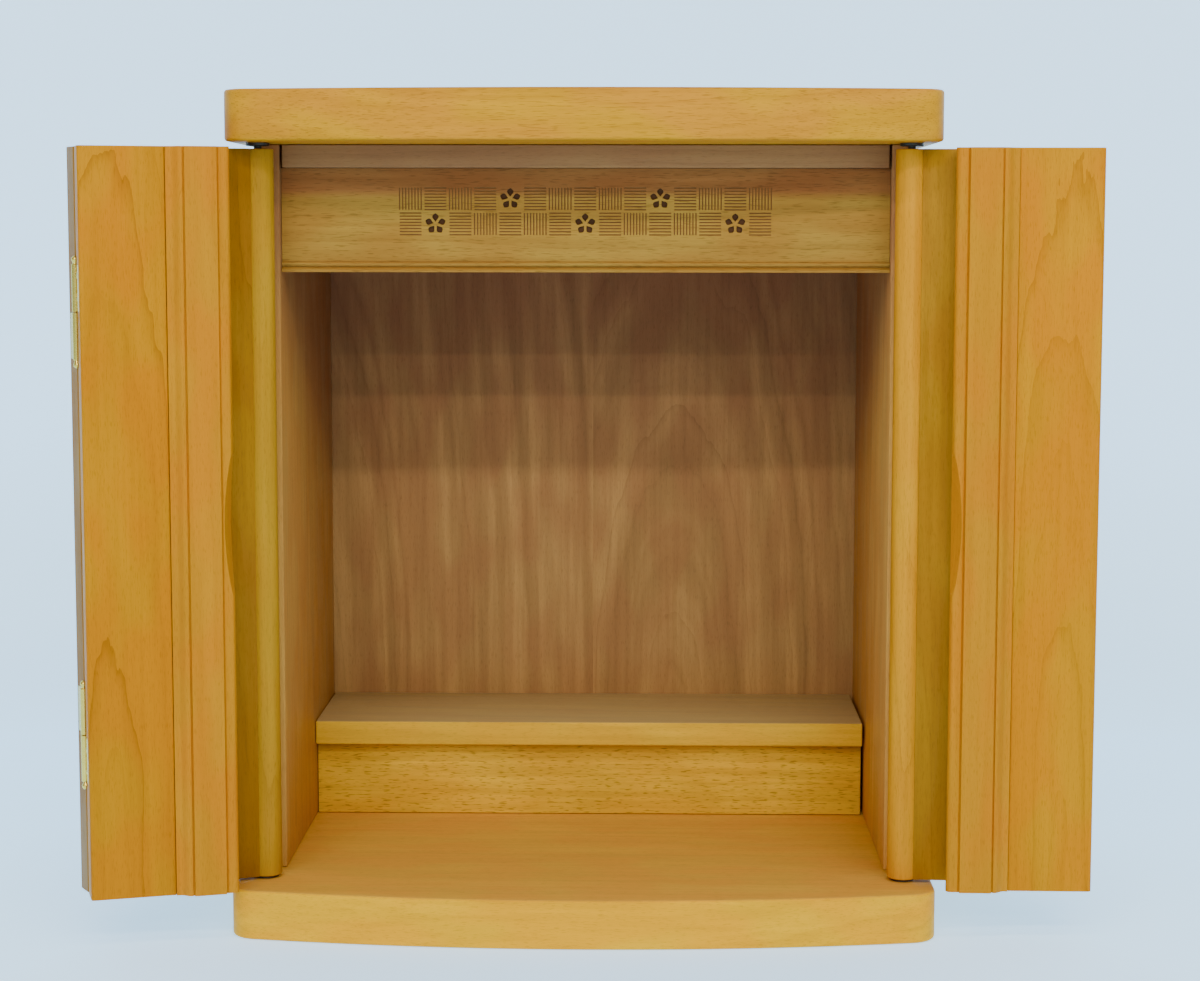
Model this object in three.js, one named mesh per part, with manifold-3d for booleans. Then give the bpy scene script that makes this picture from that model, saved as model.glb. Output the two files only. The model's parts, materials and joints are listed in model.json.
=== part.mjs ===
// A table-top household altar cabinet of lacquered wood, with a bow-fronted top and base, an open
// chamber with a loose step inside, and two bi-fold doors that stand open.
// Units are millimetres. X runs to the right, Y to the back and Z up. The origin is the middle of
// the base's underside, and "back from the front" is measured from the base's foremost point.

import * as THREE from 'three';
import { mergeVertices } from 'three/addons/utils/BufferGeometryUtils.js';
import Module from 'manifold-3d';

const wasm = await Module();
wasm.setup();

// Overall size
const height = 540;
const depth = 350;
const topWidth = 450;
const baseWidth = 453;
const gap = 0.3;                     // between pieces that touch

// Top and base boards
const boardThickness = 32;
const bowRise = 22;                  // how far the front bulges past the ends
const frontCornerRadius = 18;
const boardEase = 2;                 // rounding along the boards' edges

// Chamber
const chamberWidth = 395;            // between the inner faces of the sides
const sideThickness = 14.5;
const sideSetback = 80;              // front edge of the sides, back from the front
const backThickness = 6;
const backInset = 3;                 // the back panel stands in from the boards' rear edge

// Head rail and fascia
const railLength = 392;
const railThickness = 18;
const railSetback = 82;
const fasciaTop = 492.7;
const fasciaBottom = 425.7;
const fasciaThickness = 15;
const fasciaSetback = 88;
const nosingReach = 3.2;             // how far the fascia's lower moulding stands forward
const beadHeight = 5.2;              // centre of the fascia's bead above its lower edge
const beadRadius = 1.6;

// Checker band on the fascia, with five-petalled blossoms let into some of its squares
const cell = 16.2;
const bandColumns = 15;
const bandMiddle = 465;
const blossomEvery = 6;
const firstUpperBlossom = 4;
const firstLowerBlossom = 1;
const petalRoot = 1.3;
const petalTip = 6.9;
const petalHalfWidth = 2.1;
const petalDepth = 2;

// Loose step
const shelfTop = 101.6;
const shelfThickness = 17;
const shelfSetback = 226;
const riserSetback = 237;
const riserThickness = 12;
const stepSlack = 1.9;               // the step is this much shorter than the chamber is wide

// Doors
const doorBottom = 34;
const doorTop = 504;
const postOffset = 207.5;            // post axis from the middle of the cabinet
const postSetback = 57;
const postRadius = 10;
const outerLength = 117.5;           // post axis to fold edge, on the inside face
const foldBevel = 2.3;               // the outer leaf is this much longer on its outside face
const outerThickness = 16;
const innerThickness = 20;
const leafEase = 2;                  // rounding of the leaves' upright edges
const closedOuterAngle = 12;         // slant of the leaves, in degrees, when the doors are shut
const closedInnerAngle = 6.5;
const closedGap = 0.4;               // each door stops this short of the middle
const standing = {                   // how the doors stand: slant of each leaf, in degrees
  left: { outer: 22.2, inner: 17.3 },
  right: { outer: 3.3, inner: 1.1 },
};

// Meeting stile: a moulded strip that stands proud of the inner leaf's panel
const stileWidth = 40;
const stileRise = 6.5;
const mouldingWidth = 11.5;
const filletRise = 1.2;              // step from the panel up to the moulding
const quirkDepth = 2;                // narrow groove between the moulding and the flat
const edgeBeadWidth = 9;
const scoopLength = 118;             // finger scoop in the stile's front corner
const scoopAcross = 8;
const scoopDeep = 15;

// Pivots above and below each post
const pivotRadius = 7.5;
const pivotPlate = 1.8;              // thickness of the flat plate that each pin stands on
const pinRadius = 2.5;
const pinLength = 10;
const boreRadius = 3;
const boreLength = 12;

// Fold hinges: a barrel with a ball at each end, and one leaf plate on each half
const pinClear = 0.5;                // hinge axis from the leaves' faces and edges
const barrelRadius = 2.4;
const barrelLength = 59.5;
const ballRadius = 2.3;
const neckRadius = 1.5;
const plateThickness = 1.1;
const plateHeight = 29;
const outerPlateReach = 14;
const innerPlateReach = 14.5;
const hingeInset = 102;              // hinge centre from the leaf's nearer end
const mortiseClear = 0.5;

// Worked-out places
const front = -depth / 2;
const chamberSide = chamberWidth / 2;
const underTop = height - boardThickness;
const backFace = depth / 2 - backInset - backThickness;
const doorMiddle = (doorBottom + doorTop) / 2;

const radians = THREE.MathUtils.degToRad;

// Finishes
const finish = (color, roughness, metalness = 0) =>
  new THREE.MeshStandardMaterial({ color, roughness, metalness });
const boardWood = finish('#cda04c', 0.42);
const doorVeneer = finish('#c8942e', 0.42);
const mouldedWood = finish('#c48f42', 0.4);
const postWood = finish('#be963c', 0.38);
const chamberWood = finish('#a5793c', 0.5);
const fasciaWood = finish('#a88440', 0.45);
const backVeneer = finish('#8c5f2d', 0.55);
const brass = finish('#b89f45', 0.3, 1);
const darkSteel = finish('#3a3129', 0.5, 0.8);

const cabinet = new THREE.Group();
cabinet.name = 'altar_cabinet';

// --- Helpers -------------------------------------------------------------------------------------

// One closed solid from a geometry, with shared corners merged and faces pointing out.
function solid(geometry) {
  const bare = geometry.clone();
  bare.deleteAttribute('normal');
  bare.deleteAttribute('uv');
  const merged = mergeVertices(bare, 1e-4);
  const points = merged.attributes.position;
  const triangles = [];
  for (let i = 0; i < merged.index.count; i += 3) {
    const [a, b, c] = [0, 1, 2].map((k) => merged.index.getX(i + k));
    if (a !== b && b !== c && c !== a) triangles.push(a, b, c);
  }
  if (signedVolume(points, triangles) < 0) triangles.reverse();
  return new wasm.Manifold(new wasm.Mesh({
    numProp: 3,
    vertProperties: new Float32Array(points.array),
    triVerts: new Uint32Array(triangles),
  }));
}

function signedVolume(points, triangles) {
  const [a, b, c] = [new THREE.Vector3(), new THREE.Vector3(), new THREE.Vector3()];
  let volume = 0;
  for (let i = 0; i < triangles.length; i += 3) {
    a.fromBufferAttribute(points, triangles[i]);
    b.fromBufferAttribute(points, triangles[i + 1]);
    c.fromBufferAttribute(points, triangles[i + 2]);
    volume += a.dot(b.cross(c)) / 6;
  }
  return volume;
}

function geometryOf(body) {
  const mesh = body.getMesh();
  const geometry = new THREE.BufferGeometry();
  geometry.setAttribute('position', new THREE.BufferAttribute(new Float32Array(mesh.vertProperties), 3));
  geometry.setIndex(new THREE.BufferAttribute(new Uint32Array(mesh.triVerts), 1));
  geometry.computeVertexNormals();
  return geometry;
}

function add(parent, name, body, material) {
  const mesh = new THREE.Mesh(geometryOf(body), material);
  mesh.name = name;
  parent.add(mesh);
}

function block(x, y, z) {
  const box = new THREE.BoxGeometry(x[1] - x[0], y[1] - y[0], z[1] - z[0]);
  box.translate((x[0] + x[1]) / 2, (y[0] + y[1]) / 2, (z[0] + z[1]) / 2);
  return solid(box);
}

// A plan outline carried straight up from one height to another.
function upright(outline, low, high, curveSegments = 6) {
  const geometry = new THREE.ExtrudeGeometry(outline, {
    depth: high - low, bevelEnabled: false, curveSegments,
  });
  geometry.translate(0, 0, low);
  return solid(geometry);
}

function uprightCylinder(x, y, radius, low, high, sides = 24) {
  const cylinder = new THREE.CylinderGeometry(radius, radius, high - low, sides);
  cylinder.rotateX(Math.PI / 2);
  cylinder.translate(x, y, (low + high) / 2);
  return solid(cylinder);
}

// A turned body from [radius, height] pairs that start and end on the axis.
function turned(profile, sides = 24) {
  const points = profile.map(([radius, level]) => new THREE.Vector2(radius, level));
  const geometry = new THREE.LatheGeometry(points, sides);
  geometry.rotateX(Math.PI / 2);
  return solid(geometry);
}

// --- Top and base --------------------------------------------------------------------------------

// Plan of a board: square at the back, rounded at the front corners, and bowed along the front.
function boardOutline(width) {
  const half = width / 2;
  const bowRadius = (half * half + bowRise * bowRise) / (2 * bowRise);
  const bowCentre = front + bowRadius;
  const cornerX = half - frontCornerRadius;
  const reach = bowRadius - frontCornerRadius;
  const cornerY = bowCentre - Math.sqrt(reach * reach - cornerX * cornerX);
  const tangent = Math.atan2(cornerX, bowCentre - cornerY);
  const outline = new THREE.Shape();
  outline.moveTo(-half, depth / 2);
  outline.lineTo(-half, cornerY);
  outline.absarc(-cornerX, cornerY, frontCornerRadius, Math.PI, 1.5 * Math.PI - tangent, false);
  outline.absarc(0, bowCentre, bowRadius, 1.5 * Math.PI - tangent, 1.5 * Math.PI + tangent, false);
  outline.absarc(cornerX, cornerY, frontCornerRadius, 1.5 * Math.PI + tangent, 2 * Math.PI, false);
  outline.lineTo(half, depth / 2);
  outline.closePath();
  return outline;
}

function board(width, low) {
  const geometry = new THREE.ExtrudeGeometry(boardOutline(width), {
    depth: boardThickness - 2 * boardEase,
    bevelThickness: boardEase,
    bevelSize: boardEase,
    bevelOffset: -boardEase,
    bevelSegments: 2,
    curveSegments: 16,
  });
  geometry.translate(0, 0, low + boardEase);
  return solid(geometry);
}

add(cabinet, 'base_board', board(baseWidth, 0), boardWood);
add(cabinet, 'top_board', board(topWidth, underTop), boardWood);

// --- Chamber -------------------------------------------------------------------------------------

const standOn = boardThickness + gap;
const reachUp = underTop - gap;

for (const [name, side] of [['left', -1], ['right', 1]]) {
  const faces = [side * chamberSide, side * (chamberSide + sideThickness)].sort((a, b) => a - b);
  add(cabinet, `${name}_side_panel`,
    block(faces, [front + sideSetback, backFace - gap], [standOn, reachUp]), chamberWood);
}

const backHalf = chamberSide + sideThickness;
add(cabinet, 'back_panel',
  block([-backHalf, backHalf], [backFace, backFace + backThickness], [standOn, reachUp]), backVeneer);

add(cabinet, 'head_rail',
  block([-railLength / 2, railLength / 2],
    [front + railSetback, front + railSetback + railThickness], [fasciaTop + gap, reachUp]), chamberWood);

// Section of the fascia in Y and Z: a flat board with a bead and a rounded nosing along its foot.
function fasciaSection() {
  const face = front + fasciaSetback;
  const nose = face - nosingReach;
  const beadCentre = fasciaBottom + beadHeight;
  const noseRadius = nosingReach;
  const section = new THREE.Shape();
  section.moveTo(face + fasciaThickness, fasciaBottom);
  section.lineTo(face + fasciaThickness, fasciaTop);
  section.lineTo(face, fasciaTop);
  section.lineTo(face, beadCentre + beadRadius);
  section.absarc(face, beadCentre, beadRadius, Math.PI / 2, 1.5 * Math.PI, false);
  section.lineTo(nose + noseRadius, beadCentre - beadRadius - 0.3);
  section.absarc(nose + noseRadius, fasciaBottom, noseRadius, Math.PI / 2, Math.PI, false);
  section.closePath();
  return section;
}

function petalOutline() {
  const steps = 7;
  const outline = new THREE.Shape();
  outline.moveTo(0, petalRoot);
  for (const side of [1, -1]) {
    for (let i = 1; i <= steps; i += 1) {
      const along = side > 0 ? i / steps : 1 - i / steps;
      const swell = Math.sin(Math.PI * along ** 1.35);
      const reach = petalRoot + (petalTip - petalRoot) * along;
      if (i < steps || side > 0) outline.lineTo(side * petalHalfWidth * swell, reach);
    }
  }
  outline.closePath();
  return outline;
}

// Five petals around one blossom's middle, as cutters that reach into the fascia's face.
function blossomCutters(x, z) {
  const toFace = new THREE.Matrix4().makeBasis(
    new THREE.Vector3(1, 0, 0), new THREE.Vector3(0, 0, 1), new THREE.Vector3(0, -1, 0));
  const cutters = [];
  for (let petal = 0; petal < 5; petal += 1) {
    const geometry = new THREE.ExtrudeGeometry(petalOutline(), {
      depth: petalDepth + 1, bevelEnabled: false,
    });
    geometry.rotateZ((petal * 2 * Math.PI) / 5);
    geometry.applyMatrix4(toFace);
    geometry.translate(x, front + fasciaSetback + petalDepth, z);
    cutters.push(solid(geometry));
  }
  return cutters;
}

function fascia() {
  const half = chamberSide - gap;
  const geometry = new THREE.ExtrudeGeometry(fasciaSection(), {
    depth: 2 * half, bevelEnabled: false, curveSegments: 6,
  });
  geometry.applyMatrix4(new THREE.Matrix4().makeBasis(
    new THREE.Vector3(0, 1, 0), new THREE.Vector3(0, 0, 1), new THREE.Vector3(1, 0, 0)));
  geometry.translate(-half, 0, 0);
  let body = solid(geometry);
  const rows = [[firstUpperBlossom, bandMiddle + cell / 2], [firstLowerBlossom, bandMiddle - cell / 2]];
  for (const [first, z] of rows) {
    for (let column = first; column < bandColumns; column += blossomEvery) {
      const x = (column - (bandColumns - 1) / 2) * cell;
      for (const cutter of blossomCutters(x, z)) body = body.subtract(cutter);
    }
  }
  return body;
}

add(cabinet, 'fascia', fascia(), fasciaWood);

// --- Loose step: a shelf on a riser and two end legs -----------------------------------------------

const stepEnds = [-chamberSide + gap, chamberSide - stepSlack];
const underShelf = shelfTop - shelfThickness;
const stepBack = backFace - gap;
const legLevels = [standOn, underShelf - gap];
const legDepth = [front + riserSetback + riserThickness + gap, stepBack];

add(cabinet, 'step_shelf', block(stepEnds, [front + shelfSetback, stepBack], [underShelf, shelfTop]), chamberWood);
add(cabinet, 'step_riser',
  block(stepEnds, [front + riserSetback, front + riserSetback + riserThickness], legLevels), chamberWood);
add(cabinet, 'step_left_leg',
  block([stepEnds[0], stepEnds[0] + riserThickness], legDepth, legLevels), chamberWood);
add(cabinet, 'step_right_leg',
  block([stepEnds[1] - riserThickness, stepEnds[1]], legDepth, legLevels), chamberWood);

// --- Doors ---------------------------------------------------------------------------------------
// Each leaf is drawn lying along X from its own turning axis, with its outside face towards -Y:
// u is the distance from the axis towards the door's meeting edge, and w runs from the outside
// face to the inside face. "hand" is 1 for the left door and -1 for the right, which mirrors u.

const hingeU = outerLength + pinClear;
const hingeW = outerThickness / 2 + pinClear;
const hingeCentres = { upper: doorTop - hingeInset, lower: doorBottom + hingeInset };

// Distance from the fold axis to the closed door's meeting edge, at depth w of the inner leaf.
const closedHingeX = -postOffset + hingeU * Math.cos(radians(closedOuterAngle))
  + hingeW * Math.sin(radians(closedOuterAngle));
function meetingEdge(w) {
  const slant = radians(closedInnerAngle);
  return (-closedGap - closedHingeX - w * Math.sin(slant)) / Math.cos(slant);
}

const innerFace = -pinClear;
const panelFace = innerFace - innerThickness;
const stileFace = panelFace - stileRise;
const stileStart = meetingEdge(stileFace) - stileWidth;

// Distance from the post axis to the outer leaf's bevelled fold edge, at depth w.
function foldEdge(w) {
  return outerLength + foldBevel * (0.5 - w / outerThickness);
}

function mirrored(hand, points) {
  return points.map(([u, w]) => [hand * u, w]);
}

function polygon(points) {
  const outline = new THREE.Shape();
  outline.moveTo(...points[0]);
  for (const point of points.slice(1)) outline.lineTo(...point);
  outline.closePath();
  return outline;
}

// Points of an arc from one angle to another, in degrees.
function arc(u, w, radius, from, to, steps) {
  return Array.from({ length: steps + 1 }, (_, i) => {
    const angle = radians(from + ((to - from) * i) / steps);
    return [u + radius * Math.cos(angle), w + radius * Math.sin(angle)];
  });
}

// Plan of a hinge plate let into the outer leaf's fold edge, or with "extra" of its shallow recess.
function outerPlate(hand, extra) {
  const low = hingeW - outerPlateReach - extra;
  const high = hingeW;
  const back = plateThickness + extra;
  return polygon(mirrored(hand, [
    [foldEdge(low) - back, low], [foldEdge(low) + 5 * extra, low],
    [foldEdge(high) + 5 * extra, high], [foldEdge(high) - back, high],
  ]));
}

function outerPanel(hand) {
  const half = outerThickness / 2;
  const outline = [
    [0, -half],
    ...arc(foldEdge(leafEase - half) - leafEase, leafEase - half, leafEase, -90, 0, 3),
    ...arc(foldEdge(half - leafEase) - leafEase, half - leafEase, leafEase, 0, 90, 3),
    [0, half],
  ];
  let body = upright(polygon(mirrored(hand, outline)), doorBottom, doorTop);
  body = body.subtract(uprightCylinder(0, 0, postRadius + gap, doorBottom - 1, doorTop + 1));
  for (const [place, centre] of Object.entries(hingeCentres)) {
    const level = plateLevel(centre, outerHalfIsUpper(place));
    body = body.subtract(barrelMortise(hand * hingeU, hingeW, centre));
    body = body.subtract(upright(
      outerPlate(hand, gap), level - plateHeight / 2 - gap, level + plateHeight / 2 + gap));
  }
  // The panel's part on the far side of the post axis is left off.
  return body.subtract(block(
    [hand * -postRadius * 2, 0].sort((a, b) => a - b), [-postRadius, postRadius], [doorBottom - 1, doorTop + 1]));
}

function hingePost() {
  const ease = 0.8;
  return turned([
    [0, doorBottom + boreLength], [boreRadius, doorBottom + boreLength], [boreRadius, doorBottom],
    [postRadius - ease, doorBottom], [postRadius, doorBottom + ease],
    [postRadius, doorTop - ease], [postRadius - ease, doorTop],
    [boreRadius, doorTop], [boreRadius, doorTop - boreLength], [0, doorTop - boreLength],
  ], 32);
}

function innerPanel(hand) {
  const outline = [
    ...arc(pinClear + leafEase, innerFace - leafEase, leafEase, 90, 180, 3),
    ...arc(pinClear + leafEase, panelFace + leafEase, leafEase, 180, 270, 3),
    [stileStart - gap, panelFace],
    [stileStart - gap, innerFace],
  ];
  let body = upright(polygon(mirrored(hand, outline)), doorBottom, doorTop);
  for (const [place, centre] of Object.entries(hingeCentres)) {
    const level = plateLevel(centre, !outerHalfIsUpper(place));
    body = body.subtract(barrelMortise(0, 0, centre));
    body = body.subtract(block(
      [hand * -1, hand * (pinClear + plateThickness + 2 * gap)].sort((a, b) => a - b),
      [-innerPlateReach - gap, 0], [level - plateHeight / 2 - gap, level + plateHeight / 2 + gap]));
  }
  return body;
}

// Plan of the stile, from the panel outwards: a fillet and an ogee that climb to a narrow groove,
// the flat face, then a sunk bead and a rounded corner at the meeting edge.
function stileOutline() {
  const edge = meetingEdge(stileFace);
  const flatStart = stileStart + mouldingWidth;
  const flatEnd = edge - edgeBeadWidth;
  const beadFace = stileFace + 2;
  const corner = 3.5;
  const cornerEnd = meetingEdge(beadFace + corner);
  const quirk = stileRise - quirkDepth;
  const points = [
    [stileStart, innerFace], [stileStart, panelFace - filletRise], [stileStart + 1.6, panelFace - filletRise],
  ];
  const steps = 6;
  for (let i = 1; i <= steps; i += 1) {
    const along = i / steps;
    const climb = along - Math.sin(2 * Math.PI * along) / (2 * Math.PI);
    points.push([
      stileStart + 1.6 + (mouldingWidth - 3.2) * along,
      panelFace - filletRise - (stileRise - 0.9 - filletRise) * climb,
    ]);
  }
  points.push([flatStart - 1.3, panelFace - quirk], [flatStart - 0.6, panelFace - quirk]);
  points.push([flatStart - 0.5, stileFace + 0.5], [flatStart, stileFace], [flatEnd, stileFace]);
  points.push([flatEnd + 0.5, beadFace + 0.6], [flatEnd + 1.4, beadFace]);
  points.push(...arc(cornerEnd - corner, beadFace + corner, corner, -90, 0, 4));
  points.push([meetingEdge(innerFace), innerFace]);
  return points;
}

// A long shallow scoop for the fingers, cut by a large cylinder laid across the front corner.
function scoopCutter(hand) {
  const edge = meetingEdge(stileFace);
  const span = Math.hypot(scoopAcross, scoopDeep);
  const bite = (scoopAcross * scoopDeep) / span;
  const radius = (scoopLength / 2) ** 2 / (2 * bite);
  const outward = [scoopDeep / span, -scoopAcross / span];
  const middle = [edge - scoopAcross / 2, stileFace + scoopDeep / 2];
  const cylinder = new THREE.CylinderGeometry(radius, radius, 4 * span, 180);
  cylinder.rotateZ(-Math.atan2(scoopAcross, scoopDeep));
  cylinder.translate(middle[0] + radius * outward[0], middle[1] + radius * outward[1], doorMiddle);
  if (hand < 0) cylinder.scale(-1, 1, 1);
  return solid(cylinder);
}

function meetingStile(hand) {
  const body = upright(polygon(mirrored(hand, stileOutline())), doorBottom, doorTop);
  return body.subtract(scoopCutter(hand));
}

// --- Fold hinges -----------------------------------------------------------------------------------
// On the upper hinge the inner leaf's plate is on the barrel's upper half, and on the lower hinge
// it is on the lower half, so the four plates of a door mirror each other about its middle.

function outerHalfIsUpper(place) {
  return place === 'lower';
}

function plateLevel(centre, upper) {
  return centre + (upper ? 1 : -1) * (barrelLength / 4 + gap / 2);
}

function barrelMortise(x, y, centre) {
  const reach = barrelLength / 2 + 2 * ballRadius;
  return uprightCylinder(x, y, barrelRadius + mortiseClear, centre - reach, centre + reach);
}

// Half of a barrel, with a neck and a ball on its outer end.
function halfBarrel(centre, upper) {
  const tip = barrelLength / 2;
  const ballCentre = tip + 0.6 + ballRadius;
  const steps = 5;
  const profile = [[0, gap / 2], [barrelRadius, gap / 2], [barrelRadius, tip], [neckRadius, tip]];
  for (let i = 1; i <= steps; i += 1) {
    const angle = radians(-50 + (140 * i) / steps);
    profile.push([Math.max(0, ballRadius * Math.cos(angle)), ballCentre + ballRadius * Math.sin(angle)]);
  }
  profile[profile.length - 1][0] = 0;
  const levels = profile.map(([radius, level]) => [radius, centre + (upper ? level : -level)]);
  return turned(levels, 16);
}

function outerHinge(hand, place, centre) {
  const upper = outerHalfIsUpper(place);
  const level = plateLevel(centre, upper);
  const plate = upright(outerPlate(hand, 0), level - plateHeight / 2, level + plateHeight / 2);
  return halfBarrel(centre, upper).translate([hand * hingeU, hingeW, 0]).add(plate);
}

function innerHinge(hand, place, centre) {
  const upper = !outerHalfIsUpper(place);
  const level = plateLevel(centre, upper);
  const faces = [hand * pinClear, hand * (pinClear + plateThickness)].sort((a, b) => a - b);
  const plate = block(faces, [-innerPlateReach, 0], [level - plateHeight / 2, level + plateHeight / 2]);
  return halfBarrel(centre, upper).add(plate);
}

// --- Pivots ----------------------------------------------------------------------------------------

function topPivot() {
  const face = reachUp - pivotPlate;
  return turned([
    [0, doorTop - pinLength], [pinRadius, doorTop - pinLength], [pinRadius, face],
    [pivotRadius, face], [pivotRadius, reachUp], [0, reachUp],
  ]);
}

function bottomPivot() {
  const face = Math.min(standOn + pivotPlate, doorBottom - 1.5 * gap);
  return turned([
    [0, standOn], [pivotRadius, standOn], [pivotRadius, face],
    [pinRadius, face], [pinRadius, doorBottom + pinLength], [0, doorBottom + pinLength],
  ]);
}

// --- Door assembly -----------------------------------------------------------------------------------

for (const [side, hand] of [['left', 1], ['right', -1]]) {
  const { outer, inner } = standing[side];
  const outerLeaf = new THREE.Group();
  outerLeaf.position.set(-hand * postOffset, front + postSetback, 0);
  outerLeaf.rotation.z = -hand * radians(180 - outer);
  const innerLeaf = new THREE.Group();
  innerLeaf.position.set(hand * hingeU, hingeW, 0);
  innerLeaf.rotation.z = hand * radians(180 - (outer - inner));
  outerLeaf.add(innerLeaf);
  cabinet.add(outerLeaf);

  add(outerLeaf, `${side}_hinge_post`, hingePost(), postWood);
  add(outerLeaf, `${side}_outer_panel`, outerPanel(hand), doorVeneer);
  add(innerLeaf, `${side}_inner_panel`, innerPanel(hand), doorVeneer);
  add(innerLeaf, `${side}_meeting_stile`, meetingStile(hand), mouldedWood);
  for (const [place, centre] of Object.entries(hingeCentres)) {
    add(outerLeaf, `${side}_${place}_hinge_outer`, outerHinge(hand, place, centre), brass);
    add(innerLeaf, `${side}_${place}_hinge_inner`, innerHinge(hand, place, centre), brass);
  }

  const pivots = new THREE.Group();
  pivots.position.copy(outerLeaf.position);
  add(pivots, `${side}_top_pivot`, topPivot(), darkSteel);
  add(pivots, `${side}_bottom_pivot`, bottomPivot(), darkSteel);
  cabinet.add(pivots);
}

export default cabinet;
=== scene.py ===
# %% [markdown]
# # A table-top household altar cabinet
#
# The cabinet is a small piece of lacquered furniture. A thick bow-fronted base and top hold two
# sides and a back between them, and a pair of bi-fold doors turn on round posts at the front.
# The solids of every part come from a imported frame. This file dresses them: it makes each visible
# piece again with the roundings, mouldings and engraving that the plain solids leave out, and gives
# it a wood or metal finish. Every length below is in millimetres until it is turned into metres.

# %% Load the frame
import math
import json

import bpy
import bmesh
from mathutils import Matrix, Vector


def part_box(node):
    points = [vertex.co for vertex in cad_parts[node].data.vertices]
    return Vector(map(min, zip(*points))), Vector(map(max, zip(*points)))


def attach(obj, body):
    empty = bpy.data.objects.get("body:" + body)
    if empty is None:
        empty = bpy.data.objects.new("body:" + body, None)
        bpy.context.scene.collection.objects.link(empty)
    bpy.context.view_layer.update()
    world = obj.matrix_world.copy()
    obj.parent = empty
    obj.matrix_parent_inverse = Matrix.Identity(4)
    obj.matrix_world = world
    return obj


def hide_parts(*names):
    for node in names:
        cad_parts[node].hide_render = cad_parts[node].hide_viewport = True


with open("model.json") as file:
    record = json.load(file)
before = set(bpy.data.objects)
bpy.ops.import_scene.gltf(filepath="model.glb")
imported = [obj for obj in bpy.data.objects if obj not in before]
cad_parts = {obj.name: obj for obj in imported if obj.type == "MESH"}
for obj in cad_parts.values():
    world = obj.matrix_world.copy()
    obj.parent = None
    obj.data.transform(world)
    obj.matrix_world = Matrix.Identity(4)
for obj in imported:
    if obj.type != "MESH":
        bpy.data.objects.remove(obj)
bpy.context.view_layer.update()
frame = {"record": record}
MM = 0.001

# %% [markdown]
# ## Camera
#
# Furniture of this size is best seen from a little above its middle with a long lens, so that the
# uprights stay nearly parallel. A tracking target would work, but plain angles are easier to repeat.

# %% Camera
def place_camera(place, turn, dip, roll, lens):
    data = bpy.data.cameras.new("camera")
    data.lens = lens
    data.sensor_width = 36
    camera = bpy.data.objects.new("camera", data)
    bpy.context.collection.objects.link(camera)
    camera.location = Vector(place) * MM
    facing = Matrix.Rotation(turn, 4, "Z") @ Matrix.Rotation(math.pi / 2 - dip, 4, "X")
    camera.rotation_euler = (facing @ Matrix.Rotation(roll, 4, "Z")).to_euler()
    bpy.context.scene.camera = camera
    return camera


camera = place_camera((39.1, -1716.6, 451.7), turn=0.018, dip=0.103, roll=0.001, lens=75)
print("camera at", [round(v, 3) for v in camera.location])

# %% [markdown]
# ## Light and backdrop
#
# Long strip lamps that run from left to right above and in front of the cabinet give soft light on
# the fronts and clear level shadow lines deep inside, under the fascia. An even pale surround fills
# the shadows. The floor and the wall behind are one curved sheet, so no line crosses the view.

# %% Lamps and surround
def strip_lamp(name, back, up, length, width, power, colour):
    data = bpy.data.lights.new(name, "AREA")
    data.shape = "RECTANGLE"
    data.size = length
    data.size_y = width
    data.energy = power
    data.color = colour
    lamp = bpy.data.objects.new(name, data)
    bpy.context.collection.objects.link(lamp)
    lamp.location = (0.15, back, up)
    aim = Vector((0, -0.1, 0.25)) - lamp.location
    lamp.rotation_euler = aim.to_track_quat("-Z", "Y").to_euler()
    return lamp


lamps = [
    ("near_strip", -1.22, 1.76, 2.6, 0.05, 14),
    ("second_strip", -2.32, 1.76, 2.8, 0.05, 30),
    ("third_strip", -3.62, 1.76, 3.2, 0.06, 26),
    ("far_strip", -5.3, 1.76, 3.6, 0.08, 26),
]
for name, back, up, length, width, power in lamps:
    strip_lamp(name, back, up, length, width, power, (1.0, 0.985, 0.95))

world = bpy.data.worlds.new("surround")
world.use_nodes = True
world.node_tree.nodes["Background"].inputs["Color"].default_value = (0.80, 0.89, 1.0, 1)
world.node_tree.nodes["Background"].inputs["Strength"].default_value = 0.55
bpy.context.scene.world = world
print("lamps:", len(lamps))

# %% Floor and backdrop sheet
def backdrop(front, back, half_width, height, bend, colour):
    profile = [(front, 0.0)]
    steps = 24
    for i in range(steps + 1):
        angle = -math.pi / 2 + math.pi / 2 * i / steps
        profile.append((back - bend + bend * math.cos(angle), bend + bend * math.sin(angle)))
    profile.append((back, height))
    mesh = bpy.data.meshes.new("backdrop")
    verts = [(side * half_width, y, z - 0.0002) for y, z in profile for side in (-1, 1)]
    faces = [(2 * i, 2 * i + 1, 2 * i + 3, 2 * i + 2) for i in range(len(profile) - 1)]
    mesh.from_pydata(verts, [], faces)
    mesh.polygons.foreach_set("use_smooth", [True] * len(mesh.polygons))
    sheet = bpy.data.objects.new("backdrop", mesh)
    bpy.context.collection.objects.link(sheet)
    material = bpy.data.materials.new("pale_sheet")
    material.use_nodes = True
    shader = material.node_tree.nodes["Principled BSDF"]
    shader.inputs["Base Color"].default_value = (*colour, 1)
    shader.inputs["Roughness"].default_value = 0.8
    shader.inputs["Specular IOR Level"].default_value = 0.1
    shader.inputs["Emission Color"].default_value = (0.52, 1.08, 1.65, 1)
    shader.inputs["Emission Strength"].default_value = 0.7
    mesh.materials.append(material)
    return sheet


backdrop(front=-7.0, back=0.75, half_width=5.0, height=3.2, bend=0.25, colour=(0.74, 0.84, 0.90))
print("backdrop ready")

# %% [markdown]
# ## Writing materials as sums
#
# A wood finish is a long sum of noises and rings. Wired by hand it becomes a tangle, so `Term`
# wraps a value socket and lets Python's own `+`, `-`, `*` and `/` add the Math nodes, and `Recipe`
# has one method that makes any other node.

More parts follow.
